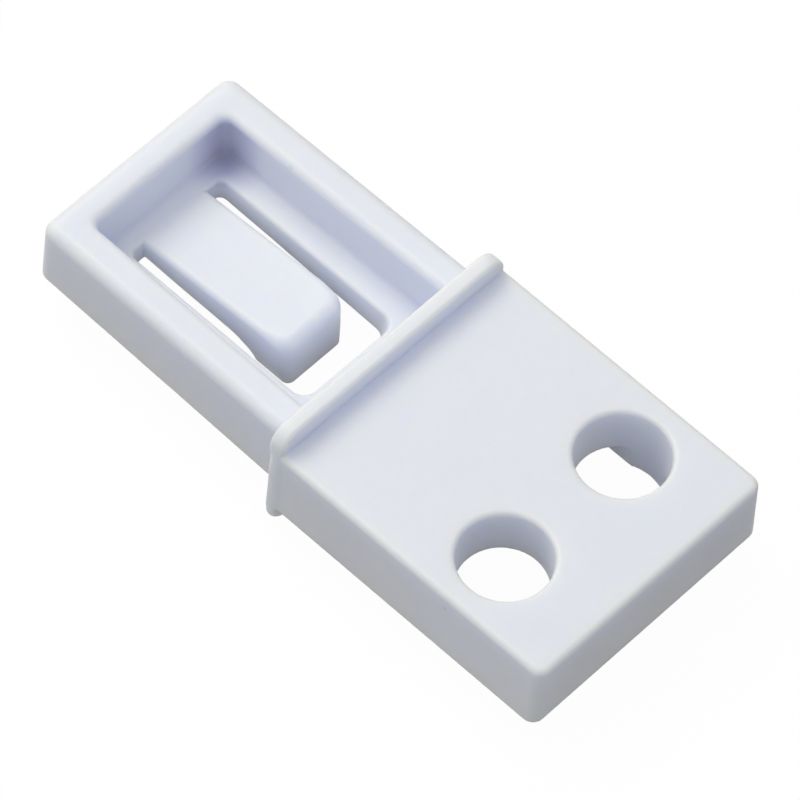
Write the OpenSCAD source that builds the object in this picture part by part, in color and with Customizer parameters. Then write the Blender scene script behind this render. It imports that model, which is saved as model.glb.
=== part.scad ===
// Snap-in latch of a small freezer door, one plastic moulding.
// X runs along the latch, from the snap-in end to the plate's free end. Z is up.
// The origin is midway between the two screw holes, on the plate's top face.

/* [Plate] */
// Length of the plate, from the flange to its free end
plate_length = 22.1; // [19:0.1:32]
// Width of the plate
plate_width = 20; // [18.5:0.1:26]
// Height of the plate
plate_height = 5.75; // [5.2:0.05:8]
// Radius of the plate's two upright edges at the free end
plate_corner_radius = 0.8; // [0.3:0.05:1.2]
// Radius along the plate's top edges
plate_edge_radius = 0.5; // [0.1:0.05:0.8]

/* [Screw holes] */
// Diameter of each screw hole
hole_diameter = 6.5; // [4:0.1:7]
// Distance between the centres of the two holes
hole_spacing = 10.45; // [8.2:0.05:11]
// Distance from the flange to the line of the hole centres
hole_from_flange = 14.6; // [6:0.05:16]

/* [Hollow under the plate] */
// Depth of the hollow in the plate's underside
hollow_depth = 1.3; // [0.5:0.1:3.5]
// Thickness of the walls around the hollow
hollow_wall = 2.15; // [1.2:0.05:2.6]
// Radius of the hollow's upright corners
hollow_corner_radius = 0.8; // [0.3:0.1:2]

/* [Flange] */
// Thickness of the flange
flange_thickness = 0.87; // [0.6:0.01:2]
// How far the flange stands above the plate's top face
flange_rise = 1.65; // [0.8:0.05:3]
// How far the flange reaches below the plate's underside
flange_drop = 2; // [0:0.05:2.5]
// How far the flange stands out past each side of the plate
flange_lip = 0.25; // [0:0.05:3]
// Radius of the flange's four corners
flange_corner_radius = 1.5; // [1.1:0.05:3]

/* [Snap-in body] */
// Length of the snap-in body, from the flange to its free end
insert_length = 21.55; // [18:0.05:30]
// Width of the snap-in body where it meets the flange
insert_root_width = 17.3; // [16.4:0.05:18]
// Width of the snap-in body at its free end
insert_tip_width = 16.95; // [15.8:0.05:17.3]
// Height of the snap-in body where it meets the flange
insert_root_height = 5.7; // [5.5:0.05:7]
// Height of the snap-in body at its free end
insert_tip_height = 5.2; // [5:0.05:5.7]
// Radius along the top edges of the snap-in body
insert_edge_radius = 0.85; // [0.1:0.05:1]
// Radius of the two upright edges at the free end
insert_corner_radius = 0.8; // [0.3:0.05:1.5]

/* [Pocket] */
// Width of the pocket in the top of the snap-in body
pocket_width = 11.9; // [10.5:0.05:12.4]
// Depth of the pocket's floor under the top face
pocket_depth = 3.75; // [3.4:0.05:3.9]
// Thickness of the wall at the pocket's outer end
pocket_end_wall = 2.3; // [1.2:0.05:3]
// Radius of the pocket's upright corners
pocket_corner_radius = 0.6; // [0.2:0.05:1.5]

/* [Slot around the tongue] */
// Width of each arm of the slot at the pocket's floor
slot_width = 1.25; // [0.8:0.05:1.8]
// Length of the gap past the tip of the tongue
slot_end_gap = 2.85; // [2:0.05:4]
// Radius of the slot's two corners past the tip
slot_corner_radius = 1; // [0.3:0.05:1.5]
// Radius of the slot's two corners beside the tongue's root
slot_root_radius = 0.5; // [0.1:0.05:0.7]
// How far the slot's walls lean in at the underside
slot_lean = 0.3; // [0.05:0.05:0.4]
// Length of the floor left between the pocket's outer end and the slot
slot_end_floor = 1.65; // [0.6:0.05:3]

/* [Spring tongue] */
// Width of the tongue at its root
tongue_root_width = 5.65; // [5.4:0.05:6.2]
// Width of the tongue at its tip
tongue_tip_width = 5.6; // [4.9:0.05:5.8]
// Thickness of the tongue at its root
tongue_root_thickness = 1.5; // [1:0.05:1.5]
// How far the top of the tongue rises to its tip
tongue_rise = 0.9; // [0.4:0.05:2]
// How far the underside of the tongue falls to the catch
tongue_fall = 0.25; // [0.05:0.05:0.4]
// Radius over the tongue's tip, seen from the side
tongue_tip_radius = 1; // [0.3:0.05:1.2]
// Radius of the tongue's tip corners, seen from above
tongue_corner_radius = 0.8; // [0.3:0.05:2]

/* [Catch] */
// Width of the catch at its underside
catch_width = 4.5; // [3.6:0.05:5]
// Distance of the catch's locking face from the flange
catch_gap = 5.4; // [4.9:0.05:6.5]
// Depth of the catch's underside under the top face
catch_reach = 7.2; // [6.6:0.05:8]
// Length of the catch's flat underside
catch_flat = 2.8; // [1:0.05:3.5]
// How far the back of the catch leans away from the tip on its way up
catch_back_lean = 0.25; // [0:0.05:1]
// Radius of the hollow curve between the catch's back and the tongue
catch_back_radius = 1.3; // [0.3:0.05:1.35]

/* [Hidden] */

// Straight pieces that stand for each rounded corner
arc_steps = 6;
// Facets of the screw holes
hole_facets = 64;
// Facets around the flange's rounded edge
edge_facets = 16;
// Width of the flat left along the middle of the flange's rounded edge
flat = 0.05;
// How far a cutting shape runs past the face that it cuts
past = 1;
// How far a joined shape is sunk into the one that carries it
bite = 0.3;

insert_face = -flange_thickness;
insert_end = insert_face - insert_length;
pocket_end = insert_end + pocket_end_wall;
slot_start = pocket_end + slot_end_floor;
tongue_tip = insert_face - catch_gap;
tongue_top = tongue_rise - pocket_depth;
tongue_underside = -pocket_depth - tongue_root_thickness;
catch_back = tongue_tip - catch_flat;

function unit(v) = v / norm(v);

function turned(v, angle) =
    [v.x * cos(angle) - v.y * sin(angle), v.x * sin(angle) + v.y * cos(angle)];

// The points of one corner of an outline. A corner is its place and its radius.
function corner_points(before, corner, after) =
    let (
        place = [corner.x, corner.y],
        back = unit([before.x, before.y] - place),
        ahead = unit([after.x, after.y] - place),
        half_angle = acos(back * ahead) / 2,
        centre = place + unit(back + ahead) * corner.z / sin(half_angle),
        start = place + back * corner.z / tan(half_angle) - centre,
        turn = -sign(cross(back, ahead)) * (180 - 2 * half_angle)
    )
    corner.z == 0 ? [place] :
    [for (i = [0 : arc_steps]) centre + turned(start, turn * i / arc_steps)];

// The points of a closed outline with rounded corners
function outline(corners) =
    let (count = len(corners))
    [for (i = [0 : count - 1])
        each corner_points(corners[(i + count - 1) % count], corners[i], corners[(i + 1) % count])];

// The corners of a rectangle, each with its radius, anticlockwise from the lowest one
function rectangle(low, high, radii) = [
    [low.x, low.y, radii[0]],
    [high.x, low.y, radii[1]],
    [high.x, high.y, radii[2]],
    [low.x, high.y, radii[3]]
];

// A solid with its outline in X and Y
module seen_from_above(corners, bottom, top) {
    translate([0, 0, bottom])
        linear_extrude(top - bottom)
            polygon(outline(corners));
}

// A solid with its outline in X and Z, centred across Y
module seen_from_side(corners, width) {
    rotate([90, 0, 0])
        linear_extrude(width, center = true)
            polygon(outline(corners));
}

// A solid with its outline in Y and Z
module seen_from_end(corners, start, end) {
    translate([start, 0, 0])
        rotate([90, 0, 90])
            linear_extrude(end - start)
                polygon(outline(corners));
}

// The plate without its holes, with soft top edges and soft corners at its free end
module plate() {
    half_width = plate_width / 2;
    root = insert_face + bite;
    intersection() {
        seen_from_above(
            rectangle([root, -half_width], [plate_length, half_width],
                [0, plate_corner_radius, plate_corner_radius, 0]),
            -plate_height, past);
        seen_from_side(
            rectangle([root - past, -plate_height - past], [plate_length, 0],
                [0, 0, plate_edge_radius, 0]),
            plate_width + 2 * past);
        seen_from_end(
            rectangle([-half_width, -plate_height - past], [half_width, 0],
                [0, 0, plate_edge_radius, plate_edge_radius]),
            root - past, plate_length + past);
    }
}

// The shallow hollow in the plate's underside
module plate_hollow() {
    half_width = plate_width / 2 - hollow_wall;
    radius = hollow_corner_radius;
    seen_from_above(
        rectangle([hollow_wall, -half_width], [plate_length - hollow_wall, half_width],
            [radius, radius, radius, radius]),
        -plate_height - past, hollow_depth - plate_height);
}

module screw_holes() {
    for (side = [-1, 1])
        translate([hole_from_flange, side * hole_spacing / 2, -plate_height - past])
            cylinder(h = plate_height + 2 * past, d = hole_diameter, $fn = hole_facets);
}

// The flange between plate and snap-in body, rounded over all round its edge
module flange() {
    edge = (flange_thickness - flat) / 2;
    half_width = plate_width / 2 + flange_lip - edge;
    low = edge - plate_height - flange_drop;
    high = flange_rise - edge;
    corner = flange_corner_radius - edge;
    minkowski() {
        seen_from_end(
            rectangle([-half_width, low], [half_width, high], [corner, corner, corner, corner]),
            insert_face + edge, -edge);
        sphere(edge, $fn = edge_facets);
    }
}

// The snap-in body before it is hollowed, tapered towards its free end
module snap_in_block() {
    root_half = insert_root_width / 2;
    tip_half = insert_tip_width / 2;
    edge = insert_edge_radius;
    corner = insert_corner_radius;
    tip_length = 2 * corner;
    hull() {
        seen_from_end(
            rectangle([-root_half, -insert_root_height], [root_half, 0], [0, 0, edge, edge]),
            insert_face, insert_face + bite);
        intersection() {
            seen_from_above(
                rectangle([insert_end, -tip_half], [insert_end + tip_length, tip_half],
                    [corner, 0, 0, corner]),
                -insert_tip_height, past);
            seen_from_side(
                rectangle([insert_end, -insert_tip_height - past], [insert_end + tip_length + past, 0],
                    [0, 0, 0, edge]),
                insert_tip_width + 2 * past);
            seen_from_end(
                rectangle([-tip_half, -insert_tip_height - past], [tip_half, 0], [0, 0, edge, edge]),
                insert_end - past, insert_end + tip_length + past);
        }
    }
}

// The open pocket in the top of the snap-in body, which ends at the flange
module pocket() {
    half_width = pocket_width / 2;
    seen_from_above(
        rectangle([pocket_end, -half_width], [past, half_width],
            [pocket_corner_radius, 0, 0, pocket_corner_radius]),
        -pocket_depth, past);
}

// The opening in the pocket's floor in which the tongue lies, narrower at the underside
module slot() {
    half_width = tongue_root_width / 2 + slot_width;
    end = tongue_tip + slot_end_gap;
    lean = slot_lean;
    radii = [slot_root_radius, slot_corner_radius, slot_corner_radius, slot_root_radius];
    hull() {
        seen_from_above(
            rectangle([slot_start, -half_width], [end, half_width], radii),
            -pocket_depth, past - pocket_depth);
        seen_from_above(
            rectangle([slot_start + lean, lean - half_width], [end - lean, half_width - lean], radii),
            -insert_root_height - past, -insert_root_height);
    }
}

// The spring tongue, which rises towards its tip, with the catch under the tip.
// The sides of the catch lean in towards its underside.
module tongue() {
    root_half = tongue_root_width / 2;
    tip_half = tongue_tip_width / 2;
    catch_half = catch_width / 2;
    radius = tongue_corner_radius;
    root = slot_start - bite;
    intersection() {
        seen_from_side(
            [
                [root, -pocket_depth - bite, 0],
                [root, tongue_underside + bite, 0],
                [slot_start, tongue_underside, 0],
                [catch_back - catch_back_lean, tongue_underside - tongue_fall, catch_back_radius],
                [catch_back, -catch_reach, 0],
                [tongue_tip, -catch_reach, 0],
                [tongue_tip, tongue_top, tongue_tip_radius],
                [slot_start, -pocket_depth, 0]
            ],
            tongue_root_width + 2 * past);
        seen_from_above(
            [
                [root, -root_half, 0],
                [tongue_tip, -tip_half, radius],
                [tongue_tip, tip_half, radius],
                [root, root_half, 0]
            ],
            -catch_reach - past, past);
        seen_from_end(
            [
                [-catch_half, -catch_reach, 0],
                [catch_half, -catch_reach, 0],
                [root_half, tongue_underside, 0],
                [root_half, past, 0],
                [-root_half, past, 0],
                [-root_half, tongue_underside, 0]
            ],
            root - past, tongue_tip + past);
    }
}

module latch_body() {
    color([0.83, 0.85, 0.91])
        translate([-hole_from_flange, 0, 0]) {
            difference() {
                union() {
                    plate();
                    flange();
                    difference() {
                        snap_in_block();
                        pocket();
                        slot();
                    }
                }
                plate_hollow();
                screw_holes();
            }
            tongue();
        }
}

latch_body();
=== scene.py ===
"""Snap-in latch of a small freezer door: the finished moulding, its plastic and the studio."""

import bpy
import numpy as np
from bpy.props import FloatProperty, FloatVectorProperty, PointerProperty
from mathutils import Matrix, Vector


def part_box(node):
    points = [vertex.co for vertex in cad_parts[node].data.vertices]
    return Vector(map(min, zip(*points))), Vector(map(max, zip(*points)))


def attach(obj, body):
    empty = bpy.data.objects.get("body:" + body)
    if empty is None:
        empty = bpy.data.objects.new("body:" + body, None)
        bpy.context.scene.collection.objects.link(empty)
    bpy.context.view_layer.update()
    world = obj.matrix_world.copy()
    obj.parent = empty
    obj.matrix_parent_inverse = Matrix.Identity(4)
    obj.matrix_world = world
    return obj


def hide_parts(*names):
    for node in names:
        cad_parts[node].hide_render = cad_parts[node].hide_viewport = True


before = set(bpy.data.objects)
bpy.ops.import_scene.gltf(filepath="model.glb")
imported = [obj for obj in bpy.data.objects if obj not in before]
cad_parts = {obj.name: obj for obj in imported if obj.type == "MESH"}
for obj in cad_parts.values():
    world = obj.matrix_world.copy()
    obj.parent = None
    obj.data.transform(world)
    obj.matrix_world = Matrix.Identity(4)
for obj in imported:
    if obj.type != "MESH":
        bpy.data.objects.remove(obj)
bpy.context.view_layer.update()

bl_info = {
    "name": "Freezer door latch",
    "version": (1, 0, 0),
    "blender": (4, 5, 0),
    "location": "View3D > Sidebar > Latch",
    "description": "Builds the latch's soft-edged moulding, its satin plastic and its stage",
    "category": "Object",
}

MM = 0.001

# Grid of the moulding's mesh, in millimetres: its spacing, how fast that grows and how far
# the finest spacing reaches from each face or edge
FINE = 0.12
COARSE = 0.9
COARSE_UPRIGHT = 0.6
GROWTH = 0.45
MARGIN = 3 * FINE
REACH_ALONG = 0.25
REACH_ACROSS = 0.22
REACH_UPRIGHT = 0.15

# How the mesh's points are moved onto the surface, with the longest step in millimetres
SETTLE_ROUNDS = 4
SETTLE_STEP = 0.05
LEAST_STEEPNESS = 0.3

# Heights between which a detail fades from one form to another, in millimetres
FLANGE_LOW, FLANGE_HIGH = -4.0, 0.0
RIDGE_START, RIDGE_FULL = -0.6, 0.2
LIP_START, LIP_FULL = 1.0, -5.5
BLEND_START, BLEND_FULL = -0.1, -1.3
RIM_LOW, RIM_HIGH = -3.0, -1.0

# Shares of the ridge that stand out towards the plate, and of the lip at the flange's top
RIDGE_FRONT_SHARE = 1.6
LIP_AT_TOP = -0.2

# Marks on the plastic: centre and reach in millimetres, X from the screw holes, and darkness
SPECK = ((-0.5, -10.05, -1.19), 0.24, 0.3)
NICK = ((-29.2, 5.9, -0.25), 0.3, 0.12)

# Painted shade in the pocket's far corner: centre and reach, then the heights between which it
# fades
PAINTED_CORNER_SHADE = ((-34.0, 5.1, 0.0), 3.0)
PAINTED_FOOT_SHADE = ((-34.1, 5.4, -3.75), 1.7)
PAINTED_FOOT_SHADE_SHARE = 0.2
PAINTED_SHADE_TOP, PAINTED_SHADE_FULL = 0.0, -0.7
PAINTED_SHADE_END, PAINTED_SHADE_KEPT = -4.6, -4.0
# Colour of the painted shade, also given to the two small specks
PAINTED_SHADE_AND_SPECK_COLOUR = (0.03, 0.03, 0.3, 1.0)

# The plastic's patterns, each with its scale in cycles a metre and its detail
CLOUD = (110.0, 3.0)
WEAR = (420.0, 4.0)
GRAIN = (3600.0, 2.0)

# How far the patterns change roughness and colour, and how the plastic carries light
WEAR_REACH = 0.05
GRAIN_STRENGTH = 0.5
CLOUD_DARK = (0.985, 0.985, 0.99)
CLOUD_LIGHT = (1.015, 1.012, 1.008)
BLEED_PER_COLOUR = (0.85, 0.9, 1.2)
REFRACTION = 1.49

# Studio, in metres and watts
PANEL_PLACE = (-0.34, 0.055, 0.43)
PANEL_TARGET = (-0.014, 0.0, 0.0)
PANEL_SIZE = 0.3
PANEL_COLOUR = (1.12, 1.06, 0.93)
FLOOR_HALF = 0.6
FLOOR_GAP = 0.05 * MM
FLOOR_GREY = (0.3, 0.3, 0.3, 1.0)
FLOOR_ROUGHNESS = 0.9
SIDE_LIGHT_FROM = (-0.6, -1.0, 0.0)
SKY_LOW_COLOUR = (1.12, 1.07, 0.94, 1.0)
SKY_HIGH_COLOUR = (0.995, 1.0, 0.985, 1.0)
WHITE = (1.0, 1.0, 1.0, 1.0)

# The photograph's camera: its axes, what it looks at, and its sensor's width in millimetres
CAMERA_RIGHT = Vector((0.718409, 0.694408, 0.041049))
CAMERA_DOWN = Vector((0.598632, -0.587110, -0.544923))
CAMERA_FORWARD = Vector((-0.354299, 0.416051, -0.837481))
CAMERA_AIM = Vector((-14.439, 0.0, 0.0)) * MM
CAMERA_DISTANCE = 504.681 * MM
CAMERA_SHIFT = (0.007396, -0.046148)
CAMERA_SENSOR = 36.0
CAMERA_CLIP = (0.05, 5.0)


def length(label, text, millimetres):
    """A length property, given in millimetres and kept in metres."""
    return FloatProperty(
        name=label,
        description=text,
        default=millimetres * MM,
        min=0.0,
        precision=5,
        unit="LENGTH",
        subtype="DISTANCE",
    )


def factor(label, text, share, most=1.0):
    """A property from 0 to most."""
    return FloatProperty(
        name=label, description=text, default=share, min=0.0, max=most, subtype="FACTOR"
    )


def amount(label, text, value, least=0.0):
    """A property that has no upper end."""
    return FloatProperty(name=label, description=text, default=value, min=least)


class LatchPlateSizes(bpy.types.PropertyGroup):
    """Plate, screw holes and the hollow underneath."""

    length: length("Length", "Plate length from the flange to the free end", 22.04)
    width: length("Width", "Plate width at the top", 19.8)
    height: length("Height", "Plate height", 5.75)
    end_lean: length("End lean", "How far the free end leans in at the underside", 0.07)
    side_lean: length("Side lean", "How far each side leans out at the underside", 0.2)
    corner: length("Corner", "Radius of the upright edges at the free end", 0.85)
    top_edge: length("Top edge", "Radius along the top edges", 0.42)
    low_edge: length("Low edge", "Radius along the lower edges", 0.14)
    hole_radius: length("Hole radius", "Radius of each screw hole below its rounded rim", 3.08)
    hole_lean: length("Hole lean", "How much narrower the radius is at the underside", 0.15)
    hole_offset: length("Hole offset", "Distance of each hole from the middle plane", 5.225)
    hole_place: length("Hole place", "Distance from the flange to the hole centres", 14.6)
    hole_rim: length("Hole rim", "Radius of the upper rims of the holes", 0.3)
    hollow_depth: length("Hollow depth", "Depth of the hollow in the underside", 1.88)
    hollow_wall: length("Hollow wall", "Thickness of the walls around the hollow", 2.06)
    hollow_corner: length("Hollow corner", "Radius of the hollow's upright corners", 0.8)
    hollow_ceiling: length("Hollow ceiling", "Radius between the hollow's walls and ceiling", 0.2)
    hollow_edge: length("Hollow edge", "Radius along the edges around the hollow", 0.06)


class LatchFlangeSizes(bpy.types.PropertyGroup):
    """Flange between the plate and the snap-in body."""

    thickness: length("Thickness", "Flange thickness", 0.87)
    ridge: length("Ridge", "Extra thickness of its upper part, more of it towards the plate", 0.11)
    top_edge: length("Top edge", "Radius along the edges of its upper part", 0.26)
    low_edge: length("Low edge", "Radius along the edges of its lower part", 0.43)
    side_blend: length("Side blend", "Radius of the hollow blend to the plate's sides", 0.45)
    rise: length("Rise", "How far it stands above the plate's top face", 1.65)
    drop: length("Drop", "How far it reaches below the plate's underside", 2.0)
    lip: length("Lip", "How far it stands out past each side of the plate", 0.28)
    corner: length("Corner", "Radius of its four corners", 1.4)
    plate_blend: length("Blend to plate", "Radius of the hollow blend to the plate", 0.08)
    insert_blend: length("Blend to insert", "Radius of the hollow blend to the insert", 0.6)


class LatchInsertSizes(bpy.types.PropertyGroup):
    """Snap-in body with its pocket and the slot around the tongue."""

    length: length("Length", "Length from the flange to the free end", 21.55)
    root_width: length("Root width", "Width at the flange", 17.3)
    tip_width: length("Tip width", "Width at the free end", 16.95)
    root_height: length("Root height", "Height at the flange", 5.7)
    tip_height: length("Tip height", "Height at the free end", 5.2)
    end_lean: length("End lean", "How far the free end leans out at the underside", 0.16)
    side_lean: length("Side lean", "How far each side leans in at the top", 0.13)
    corner: length("Corner", "Radius of the upright edges at the free end", 0.95)
    top_edge: length("Top edge", "Radius along the top edges", 0.85)
    low_edge: length("Low edge", "Radius along the lower edges", 0.15)
    pocket_root: length("Pocket root width", "Pocket width at the flange", 12.15)
    pocket_tip: length("Pocket tip width", "Pocket width at its outer end", 11.65)
    pocket_depth: length("Pocket depth", "Depth of the pocket's floor", 3.75)
    pocket_wall: length("Pocket end wall", "Thickness of the wall at the outer end", 2.3)
    pocket_corner: length("Pocket corner", "Radius of the pocket's upright corners", 0.6)
    pocket_rim: length("Pocket rim", "Radius of the pocket's rim", 0.6)
    pocket_foot: length("Pocket foot", "Radius between the pocket's walls and floor", 0.35)
    slot_half: length("Slot half width", "Half the width over both arms of the slot", 4.075)
    slot_floor: length("Slot floor", "Floor between pocket end and slot", 1.38)
    slot_gap: length("Slot gap", "Gap between the tongue's tip and the slot's end", 2.85)
    slot_corner: length("Slot corner", "Radius of the slot's corners past the tip", 1.05)
    slot_root: length("Slot root corner", "Radius of the slot's corners beside the root", 0.5)
    slot_lean: length("Slot lean", "How far the slot's walls lean in at the underside", 0.35)
    slot_rim: length("Slot rim", "Radius of the slot's rim", 0.22)


class LatchTongueSizes(bpy.types.PropertyGroup):
    """Spring tongue and catch."""

    root_width: length("Root width", "Width at the root", 5.65)
    tip_width: length("Tip width", "Width at the tip", 5.6)
    thickness: length("Thickness", "Thickness at the root", 1.5)
    rise: length("Rise", "How far the top rises to the tip", 1.0)
    fall: length("Fall", "How far the underside falls to the catch", 0.25)
    side_lean: length("Side lean", "How far each side leans out at the underside", 0.08)
    tip_round: length("Tip round", "Radius over the tip, seen from the side", 1.0)
    tip_start: length("Tip start", "Where the tip's rounder edges start, from the tip", 2.2)
    tip_full: length("Tip full", "Where the tip's rounder edges are complete, from the tip", 0.4)
    side_round: length("Side round", "Radius along the top side edges", 0.42)
    tip_corner: length("Tip corner", "Radius of the tip's upright edges at the top", 1.2)
    low_corner: length("Low corner", "Radius of the tip's upright edges at the catch", 0.5)
    low_edge: length("Low edge", "Radius along the lower edges", 0.16)
    catch_width: length("Catch width", "Width of the catch at its underside", 4.85)
    catch_gap: length("Catch gap", "Distance of the locking face from the flange", 5.4)
    catch_reach: length("Catch reach", "Depth of the catch's underside", 7.2)
    catch_flat: length("Catch flat", "Length of the catch's flat underside", 2.9)
    catch_heel: length("Catch heel", "Radius of the catch's rear lower edge", 0.15)
    back_lean: length("Back lean", "How far the catch's back leans away", 0.25)
    back_round: length("Back round", "Radius between the catch's back and the tongue", 1.3)
    overlap: length("Overlap", "How far the tongue reaches into the pocket's floor", 0.5)


class LatchPlastic(bpy.types.PropertyGroup):
    """Satin white plastic."""

    colour: FloatVectorProperty(
        name="Colour",
        description="Base colour",
        subtype="COLOR",
        size=3,
        min=0.0,
        max=1.0,
        default=(0.775, 0.812, 0.935),
    )
    roughness: factor("Roughness", "Mean roughness", 0.46)
    bleed: factor("Bleed", "How much light spreads under the surface", 1.0)
    bleed_depth: length("Bleed depth", "How far light spreads under the surface", 1.3)
    grain: length("Grain", "Height of the fine moulded grain", 0.0015)
    # How dark the shade painted into the pocket's far corner is
    painted_shade: factor("Painted corner shade", "Darkness of the grime in the pocket's far corner", 0.4, 0.7)


class LatchStage(bpy.types.PropertyGroup):
    """Studio light, floor and camera."""

    sky: amount("Sky", "Light from straight above", 0.84)
    horizon: amount("Horizon", "Light from the sides", 0.275)
    side: amount("Side", "Extra light from the near long side", 0.16)
    key: amount("Key", "Power of the high panel in watts", 1.05)
    glow: amount("Glow", "Light that the table gives from below", 0.08)
    floor_white: factor("Floor white", "Share of plain white in the floor in view", 0.97)
    lens: amount("Lens", "Focal length in millimetres", 369.651, 1.0)


# The shape of the moulding


def round_and(a, b, r):
    """What lies in both shapes, with a round of radius r where their faces meet."""
    corner = np.hypot(np.maximum(a + r, 0.0), np.maximum(b + r, 0.0))
    return np.minimum(np.maximum(a, b), -r) + corner


def round_or(a, b, r):
    """What lies in either shape, with a hollow blend of radius r where their faces meet."""
    corner = np.hypot(np.maximum(r - a, 0.0), np.maximum(r - b, 0.0))
    return np.maximum(np.minimum(a, b), r) - corner


def between(value, low, high):
    """0 at low, 1 at high, straight in between and clamped."""
    return np.clip((value - low) / (high - low), 0.0, 1.0)


def part_way(a, b, share):
    """a at share 0, b at share 1 and straight in between."""
    return a + (b - a) * share


def in_millimetres(group):
    """The lengths of a group of sizes, by name."""
    return {name: getattr(group, name) / MM for name in group.__annotations__}


def mirrored(marks):
    """The marks on both sides of the middle plane."""
    return [-m for m in marks] + list(marks)


def spaced(marks, coarse, reach):
    """Grid lines along one axis: close together within reach of each mark, wider elsewhere."""
    lines = [min(marks) - MARGIN]
    high = max(marks) + MARGIN
    marks = np.array(sorted(marks))
    while lines[-1] < high:
        gap = np.abs(marks - lines[-1]).min() - reach
        lines.append(lines[-1] + min(coarse, FINE + max(gap, 0.0) * GROWTH))
    return np.array(lines)


class Moulding:
    """Signed distance to the moulding in millimetres. X is 0 on the flange's plate side.

    p, f, i and t hold the sizes of the plate, the flange, the insert and the tongue.
    """

    def __init__(self, plate, flange, insert, tongue):
        self.p = in_millimetres(plate)
        self.f = in_millimetres(flange)
        self.i = in_millimetres(insert)
        self.t = in_millimetres(tongue)
        self.root = -self.f["thickness"]
        self.end = self.root - self.i["length"]
        self.pocket_end = self.end + self.i["pocket_wall"]
        self.slot_start = self.pocket_end + self.i["slot_floor"]
        self.tip = self.root - self.t["catch_gap"]
        self.slot_end = self.tip + self.i["slot_gap"]
        self.floor = -self.i["pocket_depth"]

    def plate(self, x, y, z):
        """The plate's outer form, and the hollow in its underside."""
        p = self.p
        depth = -z / p["height"]
        end = x - p["length"] + p["end_lean"] * depth
        side = np.abs(y) - p["width"] / 2 - p["side_lean"] * depth
        body = round_and(end, side, p["corner"])
        body = np.maximum(body, self.root / 2 - x)
        body = round_and(body, z, p["top_edge"])
        body = round_and(body, -p["height"] - z, p["low_edge"])
        hollow = round_and(
            np.maximum(p["hollow_wall"] - x, x - p["length"] + p["hollow_wall"]),
            np.abs(y) - p["width"] / 2 + p["hollow_wall"],
            p["hollow_corner"],
        )
        hollow = round_and(hollow, z + p["height"] - p["hollow_depth"], p["hollow_ceiling"])
        return body, hollow

    def flange(self, x, y, z):
        """The flange, thicker above the plate and a little wider towards its foot."""
        p, f = self.p, self.f
        low = -p["height"] - f["drop"]
        spread = part_way(LIP_AT_TOP, 1.0, between(z, LIP_START, LIP_FULL))
        half = p["width"] / 2 + f["lip"] * spread
        middle = (f["rise"] + low) / 2
        upright = np.abs(z - middle) - (f["rise"] - low) / 2
        outline = round_and(np.abs(y) - half, upright, f["corner"])
        edge = part_way(f["low_edge"], f["top_edge"], between(z, FLANGE_LOW, FLANGE_HIGH))
        ridge = f["ridge"] * between(z, RIDGE_START, RIDGE_FULL)
        front = x - RIDGE_FRONT_SHARE * ridge
        back = self.root - ridge - x
        return round_and(outline, np.maximum(front, back), edge)

    def insert(self, x, y, z):
        """The snap-in body with its pocket and slot."""
        i = self.i
        along = (x - self.end) / i["length"]
        half = part_way(i["tip_width"], i["root_width"], along) / 2
        height = part_way(i["tip_height"], i["root_height"], along)
        depth = -z / i["tip_height"]
        half = half - i["side_lean"] * (1.0 - depth)
        end = self.end + i["end_lean"] * (0.5 - depth)
        body = round_and(end - x, np.abs(y) - half, i["corner"])
        body = np.maximum(body, x - self.root / 2)
        body = round_and(body, z, i["top_edge"])
        body = round_and(body, -height - z, i["low_edge"])
        along = (x - self.pocket_end) / (self.root - self.pocket_end)
        half = part_way(i["pocket_tip"], i["pocket_root"], along) / 2
        pocket = round_and(self.pocket_end - x, np.abs(y) - half, i["pocket_corner"])
        pocket = round_and(pocket, self.floor - z, i["pocket_foot"])
        body = round_and(body, -pocket, i["pocket_rim"])
        lean = i["slot_lean"] * (self.floor - z) / (i["root_height"] + self.floor)
        side = np.abs(y) - i["slot_half"] + lean
        slot = round_and(x - self.slot_end + lean, side, i["slot_corner"])
        slot = np.maximum(slot, round_and(self.slot_start + lean - x, side, i["slot_root"]))
        return round_and(body, -slot, i["slot_rim"])

    def tongue(self, x, y, z):
        """The spring tongue and its catch."""
        t = self.t
        along = (x - self.slot_start) / (self.tip - self.slot_start)
        top = z - self.floor - t["rise"] * along
        under = self.floor - t["thickness"] - t["fall"] * along
        deep = between(-z, -under, t["catch_reach"])
        half = part_way(t["root_width"], t["tip_width"], along) / 2
        half = half + t["side_lean"] * between(-z, -self.floor, -under)
        half = half - (t["side_lean"] + (t["tip_width"] - t["catch_width"]) / 2) * deep
        upright = part_way(t["tip_corner"], t["low_corner"], deep)
        body = round_and(x - self.tip, np.abs(y) - half, upright)
        near_tip = between(x, self.tip - t["tip_start"], self.tip - t["tip_full"])
        body = round_and(body, top, part_way(t["side_round"], t["tip_round"], near_tip))
        rear = self.tip - t["catch_flat"]
        lean = t["back_lean"] * (z + t["catch_reach"]) / (t["catch_reach"] + under)
        back = round_and(rear - lean - x, -t["catch_reach"] - z, t["catch_heel"])
        low = round_or(under - z, back, t["back_round"])
        body = round_and(body, low, t["low_edge"])
        return np.maximum(body, self.slot_start - t["overlap"] - x)

    def __call__(self, x, y, z):
        """The whole moulding."""
        p, f = self.p, self.f
        plate, hollow = self.plate(x, y, z)
        beside = between(z, BLEND_START, BLEND_FULL)
        blend = part_way(f["plate_blend"], f["side_blend"], beside)
        solid = round_or(plate, self.flange(x, y, z), blend)
        solid = round_or(solid, self.insert(x, y, z), f["insert_blend"])
        solid = np.minimum(solid, self.tongue(x, y, z))
        solid = round_and(solid, -hollow, p["hollow_edge"])
        hole = p["hole_radius"] + p["hole_lean"] * z / p["height"]
        hole = hole - np.hypot(x - p["hole_place"], np.abs(y) - p["hole_offset"])
        rim = part_way(p["hollow_edge"], p["hole_rim"], between(z, RIM_LOW, RIM_HIGH))
        return round_and(solid, hole, rim)

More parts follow.
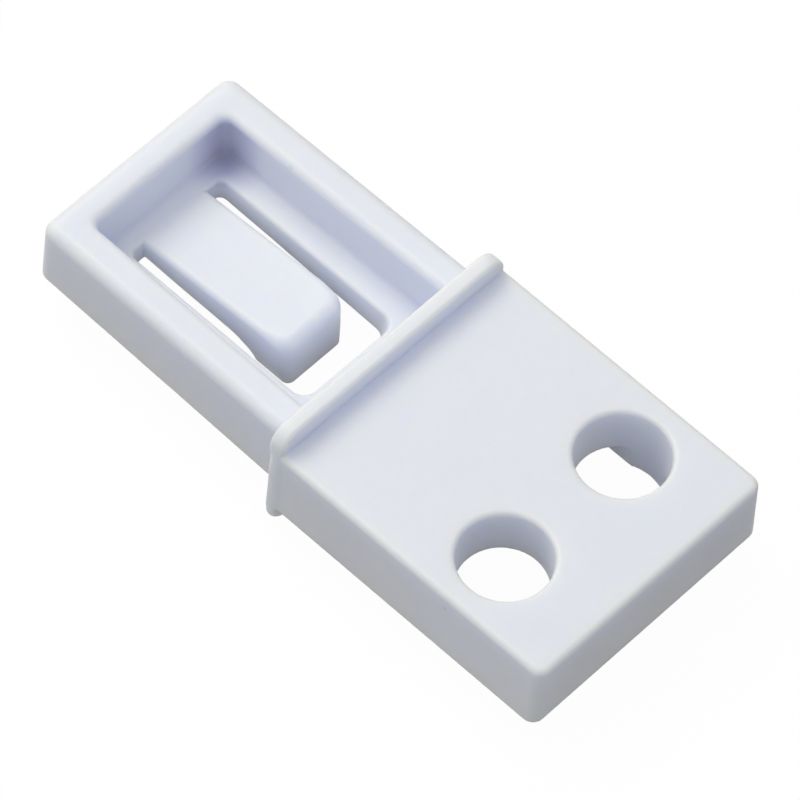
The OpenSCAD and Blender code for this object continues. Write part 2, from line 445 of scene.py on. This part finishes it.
    def grid(self):
        """Grid lines along each axis.

        They are closest at each face and edge, and in the roundings that lie a few tenths of a
        millimetre beside them.
        """
        p, f, i, t = self.p, self.f, self.i, self.t
        across = [p["hole_radius"] * share for share in (-1, -0.5, 0, 0.5, 1)]
        along = (
            [self.end, self.end + 0.7, self.pocket_end, self.pocket_end + 0.4, self.slot_start]
            + [self.tip - t["catch_flat"] - s for s in (0, 0.8, 1.6)]
            + [self.tip - s for s in (0, 0.5, 1.0)]
            + [self.slot_end, self.slot_end - 0.9, self.root, self.root / 2, 0.0, 0.3]
            + [p["hollow_wall"], p["hollow_wall"] + 0.6, p["length"] - p["hollow_wall"]]
            + [p["hole_place"] + s for s in across]
            + [p["length"], p["length"] - 0.6]
        )
        half = p["width"] / 2
        sideways = (
            [half + f["lip"], half, half - 0.5, half - p["hollow_wall"]]
            + [i["root_width"] / 2, i["root_width"] / 2 - 0.7]
            + [i["pocket_root"] / 2, i["pocket_root"] / 2 - 0.35, i["slot_half"]]
            + [t["root_width"] / 2, t["catch_width"] / 2, i["slot_half"] - i["slot_lean"]]
            + [p["hole_offset"] + s for s in across]
        )
        upright = (
            [f["rise"], f["rise"] - 0.4, 0.3, 0.0, -0.5, -0.8]
            + [self.floor + 0.9, self.floor + 0.4, self.floor, -p["height"] + p["hollow_depth"]]
            + [self.floor - t["thickness"], -i["tip_height"], -i["root_height"], -p["height"]]
            + [-t["catch_reach"], -t["catch_reach"] + 1.0, -p["height"] - f["drop"]]
        )
        return (
            spaced(along, COARSE, REACH_ALONG),
            spaced(mirrored(sideways), COARSE, REACH_ACROSS),
            spaced(upright, COARSE_UPRIGHT, REACH_UPRIGHT),
        )


def skin(shape, xs, ys, zs):
    """Closed quad mesh of the surface where shape is 0, on a grid of uneven spacing."""
    values = np.empty((len(xs), len(ys), len(zs)), np.float32)
    grid_y, grid_z = np.meshgrid(ys, zs, indexing="ij")
    for row, x in enumerate(xs):
        values[row] = shape(np.full_like(grid_y, x), grid_y, grid_z)
    inside = values < 0.0
    count = np.zeros(tuple(n - 1 for n in values.shape), np.int8)
    corners = [(a, b, c) for a in (0, 1) for b in (0, 1) for c in (0, 1)]
    nx, ny, nz = count.shape
    for a, b, c in corners:
        count += inside[a : a + nx, b : b + ny, c : c + nz]

    # Each cell that the surface crosses gets a point: the mean of where it cuts the cell's edges
    cells = np.nonzero((count > 0) & (count < 8))
    index = np.full(count.shape, -1, np.int32)
    index[cells] = np.arange(len(cells[0]))
    total = np.zeros((len(cells[0]), 3))
    hits = np.zeros(len(cells[0]))
    axes = (xs, ys, zs)
    for a in corners:
        for axis in range(3):
            if a[axis]:
                continue
            b = tuple(1 if k == axis else a[k] for k in range(3))
            at_a = tuple(cells[k] + a[k] for k in range(3))
            at_b = tuple(cells[k] + b[k] for k in range(3))
            va, vb = values[at_a], values[at_b]
            cut = (va < 0.0) != (vb < 0.0)
            share = np.where(cut, va / np.where(cut, va - vb, 1.0), 0.0)
            for k in range(3):
                pa, pb = axes[k][at_a[k]], axes[k][at_b[k]]
                total[:, k] += np.where(cut, pa + share * (pb - pa), 0.0)
            hits += cut
    points = total / hits[:, None]

    # Each grid edge that the surface cuts gets a quad between the points of the cells around it
    faces = []
    for axis in range(3):
        first = [slice(None)] * 3
        second = [slice(None)] * 3
        first[axis], second[axis] = slice(0, -1), slice(1, None)
        start, stop = inside[tuple(first)], inside[tuple(second)]
        places = np.nonzero(start != stop)
        u, v = (axis + 1) % 3, (axis + 2) % 3
        quad = []
        for du, dv in ((-1, -1), (0, -1), (0, 0), (-1, 0)):
            at = [places[k].copy() for k in range(3)]
            at[u] += du
            at[v] += dv
            quad.append(index[tuple(at)])
        quad = np.stack(quad, 1)
        from_inside = start[places]
        quad[~from_inside] = quad[~from_inside][:, ::-1]
        faces.append(quad)
    return settle(shape, points), np.concatenate(faces)


def slope(shape, points, step=1e-3):
    """Direction in which shape grows fastest, and its steepness."""
    x, y, z = points.T
    grown = np.stack(
        [
            shape(x + step, y, z) - shape(x - step, y, z),
            shape(x, y + step, z) - shape(x, y - step, z),
            shape(x, y, z + step) - shape(x, y, z - step),
        ],
        1,
    ) / (2 * step)
    steep = np.linalg.norm(grown, axis=1, keepdims=True)
    return grown / np.maximum(steep, 1e-6), steep


def settle(shape, points):
    """Moves points onto the surface along its slope."""
    for _ in range(SETTLE_ROUNDS):
        direction, steep = slope(shape, points)
        away = shape(*points.T)[:, None] / np.maximum(steep, LEAST_STEEPNESS)
        points = points - direction * np.clip(away, -SETTLE_STEP, SETTLE_STEP)
    return points


class LATCH_OT_moulding(bpy.types.Operator):
    """Build the latch as one soft-edged moulding"""

    bl_idname = "latch.moulding"
    bl_label = "Moulding"
    bl_options = {"REGISTER", "UNDO"}

    def execute(self, context):
        scene = context.scene
        shape = Moulding(
            scene.latch_plate, scene.latch_flange, scene.latch_insert, scene.latch_tongue
        )
        points, faces = skin(shape, *shape.grid())
        normals, _ = slope(shape, points)
        points = (points - np.array([shape.p["hole_place"], 0.0, 0.0])) * MM
        mesh = bpy.data.meshes.new("latch_moulding")
        mesh.from_pydata(points.tolist(), [], faces.tolist())
        if mesh.validate():
            raise RuntimeError("the moulding's mesh had faults")
        mesh.polygons.foreach_set("use_smooth", np.ones(len(mesh.polygons), bool))
        mesh.normals_split_custom_set_from_vertices(normals.tolist())
        mesh.update()
        piece = bpy.data.objects.new("latch_moulding", mesh)
        scene.collection.objects.link(piece)
        mesh.materials.append(plastic(scene.latch_plastic))
        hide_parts("latch_body")
        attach(piece, "root")
        return {"FINISHED"}


# Nodes


def feed(tree, node, inputs):
    """Gives each input of a node a value or another node's output."""
    for key, item in dict(inputs).items():
        if isinstance(item, bpy.types.NodeSocket):
            tree.links.new(item, node.inputs[key])
        else:
            node.inputs[key].default_value = item


def added(tree, kind, inputs=(), **settings):
    """A new node with its settings and inputs."""
    node = tree.nodes.new(kind)
    for name, value in settings.items():
        setattr(node, name, value)
    feed(tree, node, inputs)
    return node


def maths(tree, operation, *items):
    """The result of one operation on numbers and other nodes' outputs."""
    node = added(tree, "ShaderNodeMath", enumerate(items), operation=operation)
    return node.outputs["Value"]


def ranged(tree, value, start, stop, low=0.0, high=1.0, kind="SMOOTHSTEP"):
    """low where value is start, high where it is stop, and clamped past them."""
    ends = {"From Min": start, "From Max": stop, "To Min": low, "To Max": high}
    node = added(tree, "ShaderNodeMapRange", {"Value": value, **ends}, interpolation_type=kind)
    return node.outputs["Result"]


def mixed(tree, share, first, second):
    """The first colour at share 0, the second at share 1."""
    inputs = {"Factor": share, "A": first, "B": second}
    return added(tree, "ShaderNodeMix", inputs, data_type="RGBA").outputs["Result"]


def either(tree, share, first, second):
    """The first shader at share 0, the second at share 1."""
    node = added(tree, "ShaderNodeMixShader", enumerate((share, first, second)))
    return node.outputs["Shader"]


def noise(tree, place, scale, detail):
    """An uneven pattern from 0 to 1."""
    inputs = {"Vector": place, "Scale": scale, "Detail": detail}
    return added(tree, "ShaderNodeTexNoise", inputs).outputs["Fac"]


# The plastic


def near(tree, place, centre, reach, across=(1.0, 1.0, 1.0)):
    """1 at centre and 0 from reach on, both in millimetres. Across leaves out the axes at 0."""
    flat = added(tree, "ShaderNodeVectorMath", {0: place, 1: across}, operation="MULTIPLY")
    middle = [c * MM * a for c, a in zip(centre, across)]
    ends = {0: flat.outputs["Vector"], 1: middle}
    away = added(tree, "ShaderNodeVectorMath", ends, operation="DISTANCE")
    return ranged(tree, away.outputs["Value"], 0.0, reach * MM, 1.0, 0.0)


def marks(tree, place, look):
    """Darkness of the painted shade deep in the pocket's corner and of two small specks."""
    height = added(tree, "ShaderNodeSeparateXYZ", {"Vector": place}).outputs["Z"]
    below_rim = ranged(tree, height, PAINTED_SHADE_TOP * MM, PAINTED_SHADE_FULL * MM)
    above_floor = ranged(tree, height, PAINTED_SHADE_END * MM, PAINTED_SHADE_KEPT * MM)
    # Painted shade: darkest in the pocket's far corner and at its foot, fading up to the rim
    corner = near(tree, place, *PAINTED_CORNER_SHADE, (1.0, 1.0, 0.0))
    corner = maths(tree, "MULTIPLY", corner, below_rim)
    corner = maths(tree, "MULTIPLY", corner, above_floor)
    foot = maths(tree, "MULTIPLY", near(tree, place, *PAINTED_FOOT_SHADE), above_floor)
    dark = maths(tree, "MULTIPLY", corner, look.painted_shade)
    dark = maths(tree, "MULTIPLY_ADD", foot, look.painted_shade * PAINTED_FOOT_SHADE_SHARE, dark)
    for centre, reach, share in (SPECK, NICK):
        dark = maths(tree, "MULTIPLY_ADD", near(tree, place, centre, reach), share, dark)
    return dark


def plastic(look):
    """Satin white plastic with a fine moulded grain and slight unevenness."""
    material = bpy.data.materials.new("white_plastic")
    material.use_nodes = True
    tree = material.node_tree
    place = added(tree, "ShaderNodeTexCoord").outputs["Object"]
    shades = [
        [min(c * share, 1.0) for c, share in zip(look.colour, shares)] + [1.0]
        for shares in (CLOUD_DARK, CLOUD_LIGHT)
    ]
    tint = mixed(tree, noise(tree, place, *CLOUD), *shades)
    # The base colour is darkened by painted shade in the pocket's far corner and by two small
    # specks
    colour = mixed(tree, marks(tree, place, look), tint, PAINTED_SHADE_AND_SPECK_COLOUR)
    smooth, dull = look.roughness - WEAR_REACH, look.roughness + WEAR_REACH
    rough = ranged(tree, noise(tree, place, *WEAR), 0.0, 1.0, smooth, dull, "LINEAR")
    grain = {"Height": noise(tree, place, *GRAIN), "Distance": look.grain}
    bump = added(tree, "ShaderNodeBump", {"Strength": GRAIN_STRENGTH, **grain})
    inputs = {
        "Base Color": colour,
        "Roughness": rough,
        "Normal": bump.outputs["Normal"],
        "IOR": REFRACTION,
        "Subsurface Weight": look.bleed,
        "Subsurface Radius": BLEED_PER_COLOUR,
        "Subsurface Scale": look.bleed_depth,
    }
    feed(tree, tree.nodes["Principled BSDF"], inputs)
    return material


# The stage


def lamp(scene, power):
    """A square soft panel high up that faces the latch."""
    data = bpy.data.lights.new("panel_high", "AREA")
    data.shape = "SQUARE"
    data.size = PANEL_SIZE
    data.energy = power
    data.color = PANEL_COLOUR
    panel = bpy.data.objects.new("panel_high", data)
    panel.location = PANEL_PLACE
    aim = Vector(PANEL_TARGET) - Vector(PANEL_PLACE)
    panel.rotation_euler = aim.to_track_quat("-Z", "Y").to_euler()
    scene.collection.objects.link(panel)


def shown(tree):
    """1 for the rays that see the background itself: camera, mirror and glass rays."""
    path = added(tree, "ShaderNodeLightPath").outputs
    seen = maths(tree, "MAXIMUM", path["Is Camera Ray"], path["Is Glossy Ray"])
    return maths(tree, "MAXIMUM", seen, path["Is Transmission Ray"])


def sky(scene, stage):
    """Soft light all round, a little bluer from above, and plain white as a background."""
    world = bpy.data.worlds.new("studio")
    world.use_nodes = True
    tree = world.node_tree
    tree.nodes.clear()
    direction = added(tree, "ShaderNodeTexCoord").outputs["Generated"]
    upwards = added(tree, "ShaderNodeSeparateXYZ", {"Vector": direction}).outputs["Z"]
    height = ranged(tree, upwards, 0.0, 1.0)
    level = ranged(tree, height, 0.0, 1.0, stage.horizon, stage.sky, "LINEAR")
    side = [c * stage.side for c in SIDE_LIGHT_FROM]
    lean = added(tree, "ShaderNodeVectorMath", {0: direction, 1: side}, operation="DOT_PRODUCT")
    strength = maths(tree, "ADD", level, lean.outputs["Value"])
    hue = mixed(tree, height, SKY_LOW_COLOUR, SKY_HIGH_COLOUR)
    soft = added(tree, "ShaderNodeBackground", {"Color": hue, "Strength": strength})
    white = added(tree, "ShaderNodeBackground", {"Color": WHITE, "Strength": 1.0})
    both = either(tree, shown(tree), soft.outputs["Background"], white.outputs["Background"])
    added(tree, "ShaderNodeOutputWorld", {"Surface": both})
    scene.world = world


def floor(scene, stage, level):
    """A white floor under the latch that keeps a faint shadow."""
    mesh = bpy.data.meshes.new("floor")
    turns = ((-1, -1), (1, -1), (1, 1), (-1, 1))
    corners = [(FLOOR_HALF * x, FLOOR_HALF * y, level) for x, y in turns]
    mesh.from_pydata(corners, [], [(0, 1, 2, 3)])
    plane = bpy.data.objects.new("floor", mesh)
    scene.collection.objects.link(plane)
    material = bpy.data.materials.new("floor_white")
    material.use_nodes = True
    tree = material.node_tree
    background = shown(tree)
    inputs = {
        "Base Color": mixed(tree, background, FLOOR_GREY, WHITE),
        "Roughness": FLOOR_ROUGHNESS,
        "Specular IOR Level": 0.0,
        "Emission Color": WHITE,
        "Emission Strength": maths(tree, "MULTIPLY_ADD", background, -stage.glow, stage.glow),
    }
    shader = tree.nodes["Principled BSDF"]
    feed(tree, shader, inputs)
    white = added(tree, "ShaderNodeEmission", {"Strength": 1.0})
    seen = maths(tree, "MULTIPLY", background, stage.floor_white)
    both = either(tree, seen, shader.outputs["BSDF"], white.outputs["Emission"])
    feed(tree, tree.nodes["Material Output"], {"Surface": both})
    mesh.materials.append(material)


def camera(scene, stage):
    """The camera at the photograph's viewing angle."""
    place = CAMERA_AIM - CAMERA_FORWARD * CAMERA_DISTANCE
    data = bpy.data.cameras.new("camera")
    data.sensor_width = CAMERA_SENSOR
    data.lens = stage.lens
    data.shift_x, data.shift_y = CAMERA_SHIFT
    data.clip_start, data.clip_end = CAMERA_CLIP
    view = bpy.data.objects.new("camera", data)
    turn = Matrix((CAMERA_RIGHT, -CAMERA_DOWN, -CAMERA_FORWARD)).transposed()
    view.matrix_world = Matrix.Translation(place) @ turn.to_4x4()
    scene.collection.objects.link(view)
    scene.camera = view


class LATCH_OT_stage(bpy.types.Operator):
    """Set up the floor, the soft light and the camera"""

    bl_idname = "latch.stage"
    bl_label = "Stage"
    bl_options = {"REGISTER", "UNDO"}

    def execute(self, context):
        scene = context.scene
        stage = scene.latch_stage
        scene.view_settings.view_transform = "Standard"
        sky(scene, stage)
        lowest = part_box("latch_body")[0].z
        floor(scene, stage, lowest - FLOOR_GAP)
        lamp(scene, stage.key)
        camera(scene, stage)
        return {"FINISHED"}


class LATCH_PT_panel(bpy.types.Panel):
    """Latch sizes and looks"""

    bl_label = "Latch"
    bl_idname = "LATCH_PT_panel"
    bl_space_type = "VIEW_3D"
    bl_region_type = "UI"
    bl_category = "Latch"

    def draw(self, context):
        layout = self.layout
        for name, (label, _) in GROUPS.items():
            box = layout.box()
            box.label(text=label)
            group = getattr(context.scene, name)
            for key in group.__annotations__:
                box.prop(group, key)
        layout.operator(LATCH_OT_moulding.bl_idname)
        layout.operator(LATCH_OT_stage.bl_idname)


GROUPS = {
    "latch_plate": ("Plate", LatchPlateSizes),
    "latch_flange": ("Flange", LatchFlangeSizes),
    "latch_insert": ("Snap-in body", LatchInsertSizes),
    "latch_tongue": ("Tongue", LatchTongueSizes),
    "latch_plastic": ("Plastic", LatchPlastic),
    "latch_stage": ("Stage", LatchStage),
}
CLASSES = [kind for _, kind in GROUPS.values()]
CLASSES += [LATCH_OT_moulding, LATCH_OT_stage, LATCH_PT_panel]


def register():
    """Registers the classes and gives each scene the latch's properties."""
    for kind in CLASSES:
        bpy.utils.register_class(kind)
    for name, (_, kind) in GROUPS.items():
        setattr(bpy.types.Scene, name, PointerProperty(type=kind))


def unregister():
    """Takes away what register added."""
    for name in GROUPS:
        delattr(bpy.types.Scene, name)
    for kind in reversed(CLASSES):
        bpy.utils.unregister_class(kind)


def main():
    """Builds the latch and its stage."""
    register()
    bpy.ops.latch.moulding()
    bpy.ops.latch.stage()


if __name__ == "__main__":
    main()
